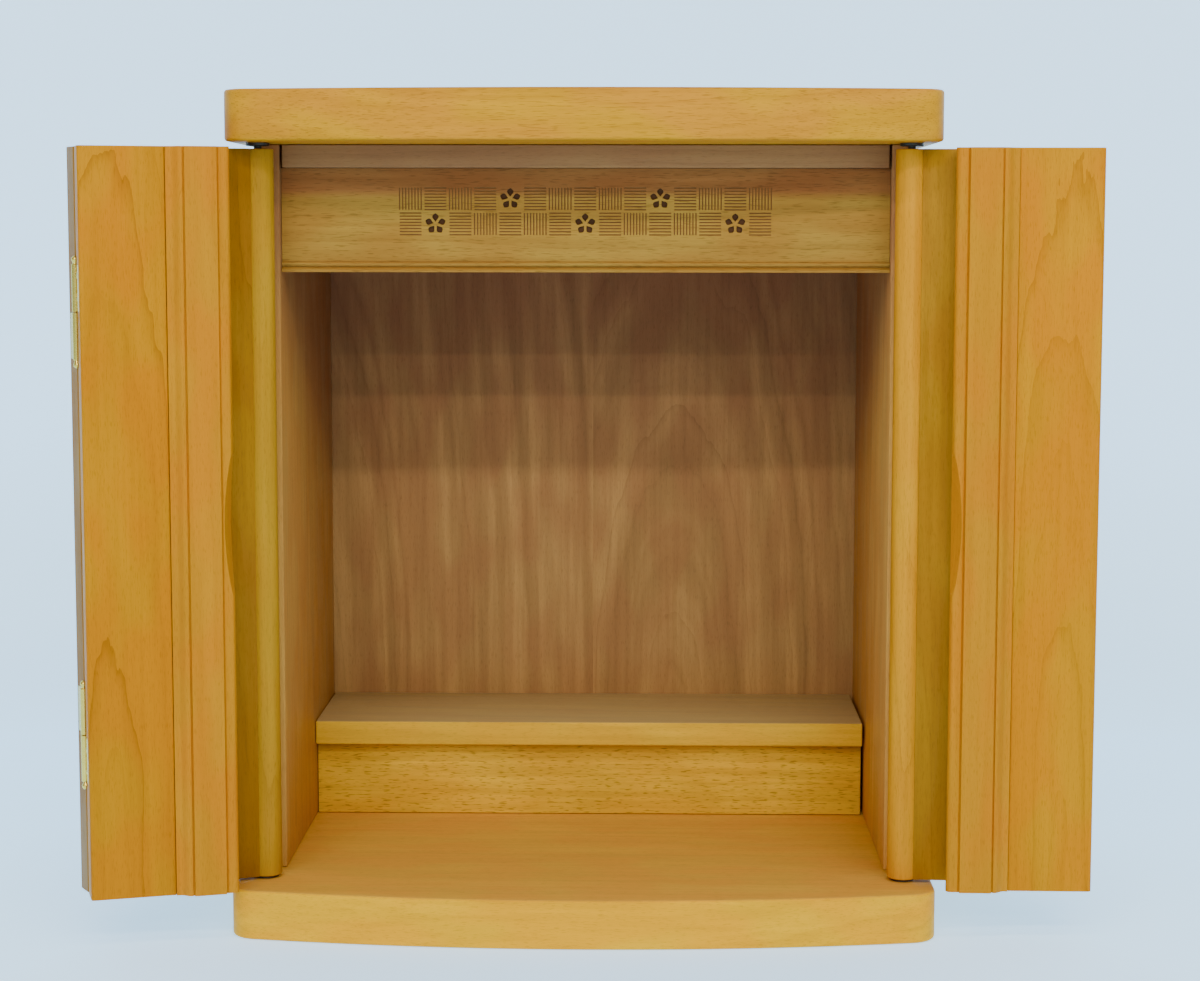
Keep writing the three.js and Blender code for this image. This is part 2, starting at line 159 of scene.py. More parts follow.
# %% Shader toolkit
class Term:
    """A value in a node tree, which can be used in ordinary sums."""

    def __init__(self, nodes, socket):
        self.nodes = nodes
        self.socket = socket

    def sum(self, operation, *terms):
        return self.nodes.term("ShaderNodeMath", {"operation": operation}, dict(enumerate(terms)))

    def __add__(self, other):
        return self.sum("ADD", self, other)

    __radd__ = __add__

    def __mul__(self, other):
        return self.sum("MULTIPLY", self, other)

    __rmul__ = __mul__

    def __sub__(self, other):
        return self.sum("SUBTRACT", self, other)

    def __rsub__(self, other):
        return self.sum("SUBTRACT", other, self)

    def __truediv__(self, other):
        return self.sum("DIVIDE", self, other)

    def __pow__(self, other):
        return self.sum("POWER", self, other)

    def __abs__(self):
        return self.sum("ABSOLUTE", self)

    def ramp(self, low, high, bottom=0.0, top=1.0):
        sockets = {"Value": self, "From Min": low, "From Max": high, "To Min": bottom, "To Max": top}
        settings = {"interpolation_type": "SMOOTHSTEP"}
        return self.nodes.term("ShaderNodeMapRange", settings, sockets)


class Nodes:
    """A node tree, to which one method adds any node."""

    def __init__(self, tree):
        self.tree = tree

    def node(self, kind, settings=None, sockets=None):
        made = self.tree.nodes.new(kind)
        for key, value in (settings or {}).items():
            setattr(made, key, value)
        for key, value in (sockets or {}).items():
            self.feed(made.inputs[key], value)
        return made

    def feed(self, socket, value):
        if isinstance(value, Term):
            value = value.socket
        if isinstance(value, bpy.types.NodeSocket):
            self.tree.links.new(value, socket)
        else:
            socket.default_value = value

    def term(self, kind, settings=None, sockets=None, output=0):
        return Term(self, self.node(kind, settings, sockets).outputs[output])

    def vector(self, x, y, z):
        return self.node("ShaderNodeCombineXYZ", None, {0: x, 1: y, 2: z}).outputs[0]


class Finish(Nodes):
    """A material and the nodes that make it."""

    def __init__(self, name):
        self.material = bpy.data.materials.new(name)
        self.material.use_nodes = True
        super().__init__(self.material.node_tree)
        self.shader = self.tree.nodes["Principled BSDF"]

    def noise(self, vector, scale=1.0, detail=2.0, roughness=0.5):
        sockets = {"Vector": vector, "Scale": scale, "Detail": detail, "Roughness": roughness}
        return self.term("ShaderNodeTexNoise", None, sockets)

    def mix(self, factor, first, second, blend="MIX"):
        settings = {"data_type": "RGBA", "blend_type": blend}
        return self.node("ShaderNodeMix", settings, {0: factor, 6: first, 7: second}).outputs[2]

    def close(self, colour, roughness, height=None, depth=0.0, **constants):
        self.feed(self.shader.inputs["Base Color"], colour)
        self.feed(self.shader.inputs["Roughness"], roughness)
        if height is not None:
            bump = self.node("ShaderNodeBump", None, {"Height": height, "Distance": depth})
            self.feed(self.shader.inputs["Normal"], bump.outputs[0])
        for key, value in constants.items():
            self.shader.inputs[key.replace("_", " ")].default_value = value
        return self.material


print("toolkit ready")

# %% [markdown]
# ## Lacquered wood
#
# A board is a flat cut through a trunk. Its growth rings are nested tubes that wander a little, and
# the cut shows them as long lines, or as arches where it leans across them. So the finish measures
# how far each point lies from a trunk axis that leans and is set back from the face, and turns that
# distance into uneven bands. Finer noises, drawn out along the grain, give the fibres and the dark
# pores. Slow noise moves the colour from gold to orange. An image would repeat at the joints; this
# runs through the thickness, so ends and edges match their faces.

# %% Wood
def wood(name, pale, deep, warm, tone=(1, 1, 1), origin=(0, 0, 0), turn=0.0, grain="up", trunk=(20, 60),
         lean=(0.0, 0.08), seam=None, ring=9.0, lines=0.4, bands=0.3, streaks=0.2, pores=0.35,
         pore_size=(5, 0.6), patches=0.55, dust=0.0, painted_shade=None, seed=0.0, gloss=0.42, coat=0.03):
    finish = Finish(name)
    pale, deep, warm = (tuple(c * t for c, t in zip(colour, tone)) + (1.0,) for colour in (pale, deep, warm))
    place = finish.node("ShaderNodeTexCoord").outputs["Object"]
    sockets = {"Vector": place, "Location": Vector(origin) * MM, "Rotation": (0, 0, turn)}
    local = finish.node("ShaderNodeMapping", {"vector_type": "TEXTURE"}, sockets).outputs[0]
    split = finish.node("ShaderNodeSeparateXYZ", None, {0: local})
    x, y, z = (Term(finish, split.outputs[i]) * 1000 for i in range(3))
    along, across, depth = {"up": (z, x, y), "level": (x, z, y), "deep": (y, z, x)}[grain]
    shifted, middle = along + seed * 137, trunk[0]
    if seam is not None:
        half = across.sum("GREATER_THAN", across, seam[0])
        shifted, middle = shifted + half * 900, half * (trunk[0] - seam[1]) + seam[1]

    def spread(length, width, detail=2.0, roughness=0.5):
        """Noise whose patches are so many millimetres along the grain and across it."""
        spot = finish.vector(shifted * (1 / length), across * (1 / width), depth * (1 / width))
        return finish.noise(spot, 1.0, detail, roughness)

    side = across - along * lean[0] - middle
    rear = depth + along * lean[1] + trunk[1]
    wander = (spread(120, 30) - 0.5) * 14 + (spread(25, 6) - 0.5) * 3
    count = ((side * side + rear * rear) ** 0.5 + wander) / ring
    growth = finish.noise(finish.vector(count * 0.9, seed * 3.7, 0.0), 1.0, 2.0).ramp(0.3, 0.7)
    year = finish.noise(finish.vector(count.sum("FLOOR", count) * 3.3, seed, 0.0)).ramp(0.42, 0.66)
    late = (count.sum("FRACT", count) ** 9) * year

    fibre = spread(22, 0.8, 3.0, 0.65)
    streak = spread(110, 4.0, 2.0).ramp(0.35, 0.7)
    pore = spread(*pore_size, 1.0).ramp(0.56, 0.70)
    patch = spread(70, 30, 1.0).ramp(0.38, 0.62)

    colour = finish.mix(growth * bands, pale, deep)
    colour = finish.mix(patch * patches, colour, warm)
    colour = finish.mix(streak * streaks + (fibre - 0.5) * 0.35 + late * lines, colour, deep)
    shade = 1.0 - pore * (0.45 * pores)
    colour = finish.mix(1.0, colour, finish.vector(shade, shade * 0.97, shade * 0.92), "MULTIPLY")
    # Painted shade: the optional ramp tints the colour from one tone low down to another higher up, along a line that
    # slants down towards the back, where overhangs shade a surface.
    if painted_shade:
        low, low_tone, high, high_tone = painted_shade
        rise = (z + y * 0.5).ramp(low, high)
        tones = finish.mix(rise, low_tone + (1.0,), high_tone + (1.0,))
        colour = finish.mix(1.0, colour, tones, "MULTIPLY")
    # Painted sheen: faces that look upward are greyed, standing in for the lacquer's grazing reflection.
    if dust:
        facing = finish.node("ShaderNodeNewGeometry").outputs["Normal"]
        upward = Term(finish, finish.node("ShaderNodeSeparateXYZ", None, {0: facing}).outputs[2])
        colour = finish.mix(upward.ramp(0.6, 0.95) * dust, colour, (0.30, 0.25, 0.16, 1.0))
    height = fibre * 0.5 - pore * 0.6 - late * 0.4
    roughness = (fibre - 0.5) * 0.10 + (patch - 0.5) * 0.05 + pore * 0.06 + gloss
    return finish.close(colour, roughness, height, 0.00005, Coat_Weight=coat, Coat_Roughness=0.3,
                        Specular_IOR_Level=0.08, Specular_Tint=(1.0, 0.72, 0.25, 1.0))


print("wood ready")

# %% [markdown]
# ## Metals
#
# The hinges are polished brass that has dulled slightly, so the colour and the roughness drift a
# little over each piece. The pivots are dark steel, and only a thin line of each shows.

# %% Metals
def metal(name, light, dark, roughness, scale):
    finish = Finish(name)
    place = finish.node("ShaderNodeTexCoord").outputs["Object"]
    drift = finish.noise(place, scale, 3.0)
    fine = finish.noise(place, scale * 12, 2.0)
    colour = finish.mix(drift, light, dark)
    rough = (drift - 0.5) * 0.15 + (fine - 0.5) * 0.08 + roughness
    return finish.close(colour, rough, fine, 0.00002, Metallic=1.0)


brass = metal("brass", (0.86, 0.62, 0.13, 1), (0.66, 0.44, 0.07, 1), 0.26, 90)
dark_steel = metal("dark_steel", (0.10, 0.09, 0.07, 1), (0.05, 0.042, 0.036, 1), 0.45, 120)
print("metals ready")

# %% [markdown]
# ## Making pieces
#
# Most parts are an outline carried straight along one direction, so one helper makes that solid.
# Real edges are never razor sharp. A Bevel modifier rounds them and keeps the faces flat, and its
# result is kept as a plain mesh, so that later cuts work on real geometry.

# %% Piece helpers
def piece_from(name, verts, faces, *materials):
    mesh = bpy.data.meshes.new(name)
    mesh.from_pydata([Vector(v) * MM for v in verts], [], faces)
    for material in materials:
        mesh.materials.append(material)
    piece = bpy.data.objects.new(name, mesh)
    bpy.context.collection.objects.link(piece)
    outward(mesh)
    return piece


def outward(mesh):
    work = bmesh.new()
    work.from_mesh(mesh)
    bmesh.ops.remove_doubles(work, verts=work.verts, dist=1e-6)
    bmesh.ops.recalc_face_normals(work, faces=work.faces)
    work.to_mesh(mesh)
    work.free()


def settle(piece):
    """Keeps a piece's modified shape as its plain mesh."""
    evaluated = piece.evaluated_get(bpy.context.evaluated_depsgraph_get())
    mesh = bpy.data.meshes.new_from_object(evaluated)
    piece.modifiers.clear()
    piece.data = mesh
    return piece


def smooth(piece, angle=32):
    piece.data.polygons.foreach_set("use_smooth", [True] * len(piece.data.polygons))
    piece.data.set_sharp_from_angle(angle=math.radians(angle))
    return piece


def ease(piece, width, segments=3, angle=40):
    """Rounds every edge that turns by more than an angle."""
    bevel = piece.modifiers.new("ease", "BEVEL")
    bevel.width = width * MM
    bevel.segments = segments
    bevel.limit_method = "ANGLE"
    bevel.angle_limit = math.radians(angle)
    bevel.miter_outer = "MITER_ARC"
    bevel.harden_normals = False
    return smooth(settle(piece))


def prism(name, outline, low, high, material, run="up"):
    """An outline carried from low to high: up, or lengthwise for an outline given as (y, z)."""
    count = len(outline)
    if run == "up":
        verts = [(a, b, level) for level in (low, high) for a, b in outline]
    else:
        verts = [(level, a, b) for level in (low, high) for a, b in outline]
    faces = [tuple(range(count)), tuple(range(count, 2 * count))]
    faces += [(i, (i + 1) % count, count + (i + 1) % count, count + i) for i in range(count)]
    return piece_from(name, verts, faces, material)


def cut(piece, *cutters):
    for cutter in cutters:
        boolean = piece.modifiers.new("cut", "BOOLEAN")
        boolean.object = cutter
        boolean.operation = "DIFFERENCE"
        boolean.solver = "EXACT"
        boolean.material_mode = "TRANSFER"
    settle(piece)
    for cutter in cutters:
        bpy.data.objects.remove(cutter)
    return piece


def dress(piece, body, slot, *nodes):
    """Rides a piece on its body, in place of the plain solids that it stands for."""
    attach(piece, body)
    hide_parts(*nodes)
    return piece


def millimetres(node):
    low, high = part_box(node)
    return [v / MM for v in low], [v / MM for v in high]


def arc(x, y, radius, start, end, steps):
    """Points of an arc from one angle to another, in degrees."""
    angles = [math.radians(start + (end - start) * i / steps) for i in range(steps + 1)]
    return [(x + radius * math.cos(a), y + radius * math.sin(a)) for a in angles]


print("piece helpers ready")

# %% [markdown]
# ## Bow-fronted boards
#
# The base and the top are thick boards whose front swells forward in one shallow arc between
# rounded corners. The arc is fixed by the board's width and by how far it swells, so the shape
# follows a rule, and Geometry Nodes can draw it: three arcs and three straight runs make the plan,
# which is filled and lifted to the board's thickness. Sizes stay as named inputs of the tree.

# %% A tree for bow-fronted boards
class Shape(Nodes):
    """A Geometry Nodes tree with named sizes."""

    def __init__(self, name, sizes):
        super().__init__(bpy.data.node_groups.new(name, "GeometryNodeTree"))
        face = self.tree.interface
        face.new_socket("Geometry", in_out="OUTPUT", socket_type="NodeSocketGeometry")
        face.new_socket("Geometry", in_out="INPUT", socket_type="NodeSocketGeometry")
        for label, value in sizes.items():
            kind = "NodeSocketInt" if isinstance(value, int) else "NodeSocketFloat"
            face.new_socket(label, in_out="INPUT", socket_type=kind).default_value = value
        self.start = self.tree.nodes.new("NodeGroupInput")

    def size(self, label):
        return Term(self, self.start.outputs[label])

    def join(self, *parts):
        joined = self.node("GeometryNodeJoinGeometry")
        for part in parts:
            self.tree.links.new(part, joined.inputs[0])
        return joined.outputs[0]

    def moved(self, part, x=0.0, y=0.0, z=0.0):
        sockets = {"Geometry": part, "Translation": self.vector(x, y, z)}
        return self.node("GeometryNodeTransform", None, sockets).outputs[0]

    def close(self, geometry, material):
        real = self.node("GeometryNodeRealizeInstances", None, {0: geometry}).outputs[0]
        dressed = self.node("GeometryNodeSetMaterial", None, {"Geometry": real, "Material": material})
        self.node("NodeGroupOutput", None, {0: dressed.outputs[0]})
        return self


def grow(name, shape, start=None, **sizes):
    """Runs a tree with the given sizes and keeps the result as a plain mesh."""
    host = bpy.data.objects.new(name, start or bpy.data.meshes.new(name))
    bpy.context.collection.objects.link(host)
    modifier = host.modifiers.new("shape", "NODES")
    modifier.node_group = shape.tree
    for item in shape.tree.interface.items_tree:
        if item.in_out == "INPUT" and item.name in sizes:
            modifier[item.identifier] = sizes[item.name]
    settle(host)
    outward(host.data)
    return host


def bow_fronted(material):
    tree = Shape("bow_fronted_board", {"Width": 450.0, "Depth": 350.0, "Rise": 22.0, "Corner": 18.0,
                                       "Thickness": 32.0, "Level": 0.0})
    half, corner = tree.size("Width") * 0.5, tree.size("Corner")
    rise, back = tree.size("Rise"), tree.size("Depth") * 0.5
    bow = (half * half + rise * rise) / (rise * 2.0)
    centre = bow - back
    corner_x = half - corner
    reach = bow - corner
    corner_y = centre - (reach * reach - corner_x * corner_x) ** 0.5
    swing = corner_x.sum("ARCTAN2", corner_x, centre - corner_y)

    def curve(radius, start, sweep, x, y, steps):
        sockets = {"Radius": radius, "Start Angle": start, "Sweep Angle": sweep, "Resolution": steps}
        drawn = tree.node("GeometryNodeCurveArc", {"mode": "RADIUS"}, sockets).outputs[0]
        return tree.moved(drawn, x, y)

    def line(first, last):
        sockets = {"Start": tree.vector(*first, 0.0), "End": tree.vector(*last, 0.0)}
        return tree.node("GeometryNodeCurvePrimitiveLine", None, sockets).outputs[0]

    quarter = math.pi / 2
    runs = [
        curve(bow, 3 * quarter - swing, swing * 2.0, 0.0, centre, 72),
        curve(corner, 2 * quarter, quarter - swing, 0.0 - corner_x, corner_y, 14),
        curve(corner, 3 * quarter + swing, quarter - swing, corner_x, corner_y, 14),
        line((half, corner_y), (half, back)),
        line((half, back), (0.0 - half, back)),
        line((0.0 - half, back), (0.0 - half, corner_y)),
    ]
    wire = tree.node("GeometryNodeCurveToMesh", None, {0: tree.join(*runs)}).outputs[0]
    wire = tree.node("GeometryNodeMergeByDistance", None, {"Geometry": wire, "Distance": 0.02}).outputs[0]
    loop = tree.node("GeometryNodeMeshToCurve", None, {0: wire}).outputs[0]
    plan = tree.node("GeometryNodeFillCurve", {"mode": "NGONS"}, {"Curve": loop}).outputs[0]
    sockets = {"Mesh": plan, "Offset Scale": tree.size("Thickness"), "Individual": False}
    lifted = tree.node("GeometryNodeExtrudeMesh", {"mode": "FACES"}, sockets).outputs[0]
    solid = tree.node("GeometryNodeMergeByDistance", None, {0: tree.join(plan, lifted)}).outputs[0]
    placed = tree.moved(solid, 0.0, 0.0, tree.size("Level"))
    sockets = {"Geometry": placed, "Scale": (MM, MM, MM)}
    return tree.close(tree.node("GeometryNodeTransform", None, sockets).outputs[0], material)


def board(name, width, **looks):
    low, high = millimetres(name)
    material = wood(name + "_wood", **looks)
    tree = bow_fronted(material)
    depth = high[1] - low[1]
    piece = grow(name + "_dressed", tree, Width=width, Depth=depth, Thickness=high[2] - low[2], Level=low[2])
    piece = ease(piece, 2.0, 4)
    dress(piece, "cabinet", "board_wood", name)
    print(piece.name, len(piece.data.polygons), "faces")
    return piece


# The base's top is greyed by painted sheen.
board("base_board", 453.0, pale=(0.88, 0.45, 0.005), deep=(0.46, 0.195, 0.002), warm=(0.83, 0.335, 0.005),
      grain="level", trunk=(-60, 90), lean=(0.01, 0.04), dust=0.24, seed=1)
board("top_board", 450.0, pale=(0.60, 0.28, 0.010), deep=(0.29, 0.105, 0.005), warm=(0.58, 0.215, 0.022),
      grain="level", trunk=(440, 90), lean=(0.01, -0.05), pores=0.6, pore_size=(9, 0.7), seed=2)

# %% [markdown]
# ## Sides, back and head rail
#
# The chamber is a plain box: two upright side boards, a thin back and a rail under the top that
# the fascia hangs in front of. The back's veneer is book-matched, which means that two leaves cut
# from one another are opened like a book, so the figure mirrors about the middle.

# %% Chamber walls
def slab(node, slot, material, easing=0.8):
    low, high = millimetres(node)
    outline = [(low[0], low[1]), (high[0], low[1]), (high[0], high[1]), (low[0], high[1])]
    piece = prism(node + "_dressed", outline, low[2], high[2], material)
    ease(piece, easing)
    dress(piece, "cabinet", slot, node)
    return piece


side_looks = dict(pale=(0.56, 0.255, 0.045), deep=(0.22, 0.082, 0.022), warm=(0.50, 0.19, 0.034))
# Painted shade: the walls turn darker and redder above a line that slants down towards the back, where the top and the
# fascia shade them.
side_looks["painted_shade"] = (290, (1.10, 1.22, 1.35), 420, (0.74, 0.72, 1.30))
left_wood = wood("left_side_wood", tone=(0.92, 0.95, 1.0), trunk=(-80, 40), seed=3, **side_looks)
right_wood = wood("right_side_wood", tone=(1.15, 1.22, 1.3), trunk=(80, 40), seed=4, **side_looks)
slab("left_side_panel", "chamber_wood", left_wood)
slab("right_side_panel", "chamber_wood", right_wood)
rail_wood = wood("rail_wood", (0.40, 0.20, 0.075), (0.16, 0.066, 0.030), (0.30, 0.13, 0.055), grain="level", seed=5)
# The back's last term is painted shade: lighter and yellower low down, darker near the top, where the fascia shades it.
back_wood = wood("back_wood", (0.44, 0.225, 0.072), (0.155, 0.070, 0.024), (0.31, 0.128, 0.046),
                 origin=(0, 166, 0), trunk=(62, -20), lean=(0.0, 0.25), seam=(0.0, -250.0), ring=10.0,
                 bands=0.5, lines=0.3, seed=6,
                 painted_shade=(190, (1.09, 1.18, 1.20), 460, (0.88, 0.76, 1.02)))
slab("head_rail", "chamber_wood", rail_wood)
slab("back_panel", "back_veneer", back_wood)
print("chamber walls dressed")

# %% [markdown]
# ## The loose step
#
# A shelf on a riser stands inside the chamber. It only rests there, so it is a separate little
# piece of furniture, with its open-pored grain running from side to side.

# %% Step
step_looks = dict(pale=(0.80, 0.48, 0.030), deep=(0.33, 0.155, 0.010), warm=(0.70, 0.36, 0.020), grain="level")
# The shelf's top is greyed by painted sheen.
shelf_wood = wood("shelf_wood", dust=0.62, trunk=(60, 60), seed=7, **step_looks)
riser_wood = wood("riser_wood", trunk=(40, 60), lean=(0.0, 0.15), lines=0.2, pores=1.0, pore_size=(7, 1.0),
                  streaks=0.3, seed=8, **step_looks)
leg_wood = wood("leg_wood", (0.62, 0.31, 0.026), (0.27, 0.106, 0.007), (0.52, 0.225, 0.016), seed=9)
slab("step_shelf", "chamber_wood", shelf_wood, 1.2)
slab("step_riser", "chamber_wood", riser_wood)
slab("step_left_leg", "chamber_wood", leg_wood)
slab("step_right_leg", "chamber_wood", leg_wood)
print("step dressed")

# %% [markdown]
# ## The fascia
#
# The board across the top of the opening has a bead and a rounded nosing along its foot, and a
# checker band engraved with groups of short gouged lines and with five-petalled blossoms. Its
# section is carried from side to side and the engraving is cut into it. The gouge cuts repeat in
# every square, so a tree sets eight of them on each and turns them by a value kept on the square.

# %% Fascia body
FASCIA_LOW, FASCIA_HIGH = millimetres("fascia")
FACE = FASCIA_HIGH[1] - 15
NOSE = 3.2


def fascia_section():
    foot, top, back = FASCIA_LOW[2], FASCIA_HIGH[2], FASCIA_HIGH[1]
    bead = foot + 5.2
    points = [(back, foot), (back, top), (FACE, top)]
    points += arc(FACE, bead, 1.6, 90, 270, 14)
    points += arc(FACE, foot, NOSE, 90, 180, 10)
    return points


# The fascia's last term is painted shadow: its top edge turns darker and redder, where the top board's overhang shades
# it.
fascia_wood = wood("fascia_wood", (0.44, 0.245, 0.040), (0.20, 0.085, 0.014), (0.34, 0.145, 0.024), grain="level",
                   trunk=(520, 60), lean=(0.0, 0.03), pores=0.7, pore_size=(8, 0.7), seed=10,
                   painted_shade=(FASCIA_HIGH[2] - 65, (1.0, 1.0, 1.0), FASCIA_HIGH[2] - 57, (0.74, 0.52, 0.86)))
# The gouge cuts take this darker wood as painted shade, standing in for the shadow inside them.
groove_wood = wood("groove_wood", (0.22, 0.095, 0.028), (0.13, 0.05, 0.014), (0.18, 0.07, 0.02), grain="level", seed=11)
petal_wood = wood("petal_wood", (0.11, 0.042, 0.018), (0.05, 0.02, 0.008), (0.08, 0.03, 0.012), grain="level", seed=12)
fascia = prism("fascia_dressed", fascia_section(), FASCIA_LOW[0], FASCIA_HIGH[0], fascia_wood, "lengthwise")
print("fascia face at y", round(FACE, 2))

# %% Gouge cuts
CELL = 16.2
MIDDLE = 465.0
ROWS = ["VHVHFHVHVHFHVHV", "HFHVHVHFHVHVHFH"]


def gouge_cuts(material):
    tree = Shape("gouge_cuts", {"Pitch": 2.0, "Count": 8, "Length": 14.2, "Gouge": 0.42})
    sockets = {"Vertices": 10, "Radius": tree.size("Gouge"), "Depth": tree.size("Length")}
    gouge = tree.node("GeometryNodeMeshCylinder", None, sockets).outputs[0]
    first = (tree.size("Count") - 1.0) * tree.size("Pitch") * -0.5
    sockets = {"Count": tree.size("Count"), "Start Location": tree.vector(first, 0.0, 0.0),
               "Offset": tree.vector(tree.size("Pitch"), 0.0, 0.0)}
    row = tree.node("GeometryNodeMeshLine", None, sockets).outputs[0]
    group = tree.node("GeometryNodeInstanceOnPoints", None, {"Points": row, "Instance": gouge}).outputs[0]
    turn = tree.term("GeometryNodeInputNamedAttribute", {"data_type": "FLOAT"}, {"Name": "turn"})
    turned = tree.node("FunctionNodeEulerToRotation", None, {0: tree.vector(0.0, turn, 0.0)}).outputs[0]
    sockets = {"Points": tree.start.outputs["Geometry"], "Instance": group, "Rotation": turned}
    return tree.close(tree.node("GeometryNodeInstanceOnPoints", None, sockets).outputs[0], material)


def square_centres(kind):
    places = []
    for row, letters in enumerate(ROWS):
        for column, letter in enumerate(letters):
            if letter in kind:
                places.append(((column - 7) * CELL, FACE, MIDDLE + (0.5 - row) * CELL, letter))
    return places


def engraved(kind):
    mesh = bpy.data.meshes.new("squares")
    places = square_centres(kind)
    mesh.from_pydata([place[:3] for place in places], [], [])
    turn = mesh.attributes.new("turn", "FLOAT", "POINT")
    turn.data.foreach_set("value", [math.pi / 2 if place[3] == "H" else 0.0 for place in places])
    return mesh


cuts = grow("cuts", gouge_cuts(groove_wood), engraved("VH"))
cuts.data.transform(Matrix.Scale(MM, 4))
print("gouge cuts:", len(square_centres("VH")) * 8)

# %% Blossoms
def petal(centre, turn):
    """A pointed-oval cutter that sinks two millimetres into the face."""
    steps = 12
    points = []
    for side in (1, -1):
        for i in range(steps):
            t = i / steps if side > 0 else 1 - i / steps
            swell = math.sin(math.pi * t ** 1.35)
            points.append((side * 2.1 * swell, 1.3 + 5.6 * t))
    spin = Matrix.Rotation(turn, 2)
    flat = [spin @ Vector(point) for point in points]
    return [(centre[0] + x, centre[2] + z) for x, z in flat]


def blossom_cutter():
    verts, faces = [], []
    for centre in square_centres("F"):
        for i in range(5):
            outline = petal(centre, i * math.tau / 5)
            base, count = len(verts), len(outline)
            verts += [(x, FACE - 1, z) for x, z in outline] + [(x, FACE + 2, z) for x, z in outline]
            faces += [tuple(range(base, base + count)), tuple(range(base + count, base + 2 * count))]
            faces += [(base + k, base + (k + 1) % count, base + count + (k + 1) % count, base + count + k)
                      for k in range(count)]
    return piece_from("petals", verts, faces, petal_wood)


cut(fascia, cuts, blossom_cutter())
smooth(fascia, 30)
dress(fascia, "cabinet", "fascia_wood", "fascia")
print("fascia:", len(fascia.data.polygons), "faces")

# %% [markdown]
# ## The doors
#
# Each door is a pair of leaves. The outer leaf turns on a round post, and the inner leaf folds
# against it on two hinges. Every leaf is drawn lying flat: u runs from its turning axis to the
# meeting edge and w through its thickness. `Leaf` then carries those points to where it stands.

# %% Leaf frames
STANDING = {"left": (22.2, 17.3), "right": (3.3, 1.1)}
DOOR_LOW, DOOR_HIGH = millimetres("left_outer_panel")[0][2], millimetres("left_outer_panel")[1][2]
HINGE_U, HINGE_W = 118.0, 8.5
OUTER_LENGTH, OUTER_THICKNESS, FOLD_BEVEL = 117.5, 16.0, 2.3
HINGE_LEVELS = {"upper": DOOR_HIGH - 102, "lower": DOOR_LOW + 102}
AXES = {joint["name"]: Vector(joint["pos_m"]) / MM for joint in frame["record"]["behaviour"]["joints"]}


class Leaf:
    """A door leaf's own frame: hand is 1 on the left door and -1 on the right."""

    def __init__(self, side, which):
        self.hand = 1 if side == "left" else -1
        self.body = side + "_" + which + "_leaf"
        self.axis = AXES[side + ("_swing" if which == "outer" else "_fold")]
        outer, inner = STANDING[side]
        slant = 180 - outer if which == "outer" else -inner
        self.turn = -self.hand * math.radians(slant)

    def place(self, points):
        spin = Matrix.Rotation(self.turn, 2)
        spots = [spin @ Vector((self.hand * u, w)) for u, w in points]
        return [(self.axis.x + spot.x, self.axis.y + spot.y) for spot in spots]

    def prism(self, name, outline, low, high, material):
        return prism(name, self.place(outline), low, high, material)

    def wood(self, name, **looks):
        return wood(name, origin=(self.axis.x, self.axis.y, 0), turn=self.turn, **looks)


leaves = {(side, which): Leaf(side, which) for side in ("left", "right") for which in ("outer", "inner")}
print("fold axes:", [(round(a.x, 1), round(a.y, 1)) for a in AXES.values()])

# %% Outer leaves
def fold_edge(w):
    return OUTER_LENGTH + FOLD_BEVEL * (0.5 - w / OUTER_THICKNESS)


def disc(x, y, radius, low, high, material=None, steps=48):
    return prism("disc", arc(x, y, radius, 0, 360 - 360 / steps, steps - 1), low, high, material)


def plate_level(place, upper):
    return HINGE_LEVELS[place] + (1 if upper else -1) * (59.5 / 4 + 0.15)


def barrel_mortise(leaf, u, w, level, material):
    x, y = leaf.place([(u, w)])[0]
    reach = 59.5 / 2 + 4.6
    return disc(x, y, 2.9, level - reach, level + reach, material, 28)


def outer_plate(extra):
    low, high, back = HINGE_W - 14 - extra, HINGE_W, 1.1 + extra
    lift = 5 * extra
    return [(fold_edge(low) - back, low), (fold_edge(low) + lift, low),
            (fold_edge(high) + lift, high), (fold_edge(high) - back, high)]


def outer_panel(side, material):
    leaf = leaves[side, "outer"]
    half = OUTER_THICKNESS / 2
    reach = 10.3
    cove = arc(0, 0, reach, -math.degrees(math.asin(half / reach)), math.degrees(math.asin(half / reach)), 20)
    outline = list(reversed(cove))
    outline += arc(fold_edge(2 - half) - 2, 2 - half, 2, -90, 0, 6)
    outline += arc(fold_edge(half - 2) - 2, half - 2, 2, 0, 90, 6)
    panel = leaf.prism(side + "_outer_panel_dressed", outline, DOOR_LOW, DOOR_HIGH, material)
    ease(panel, 0.7, 2, 50)
    for place, centre in HINGE_LEVELS.items():
        level = plate_level(place, place == "lower")
        recess = leaf.prism("recess", outer_plate(0.3), level - 14.8, level + 14.8, material)
        cut(panel, barrel_mortise(leaf, HINGE_U, HINGE_W, centre, material), recess)
    smooth(panel)
    dress(panel, leaf.body, "door_veneer", side + "_outer_panel")
    return panel


outer_looks = dict(pale=(0.397, 0.187, 0.008), deep=(0.161, 0.060, 0.003), warm=(0.329, 0.127, 0.006))
for side, seed, tone in (("left", 13, (0.88, 0.85, 0.8)), ("right", 14, (1.03, 1.03, 1.0))):
    material = leaves[side, "outer"].wood(side + "_outer_wood", seed=seed, tone=tone, trunk=(60, 60), **outer_looks)
    print(outer_panel(side, material).name)

# %% [markdown]
# ## Hinge posts
#
# A round post closes the outer end of each door, and the door turns on a pin in each of its ends.
# A turned piece is a profile spun about its axis, with its ends slightly rounded.

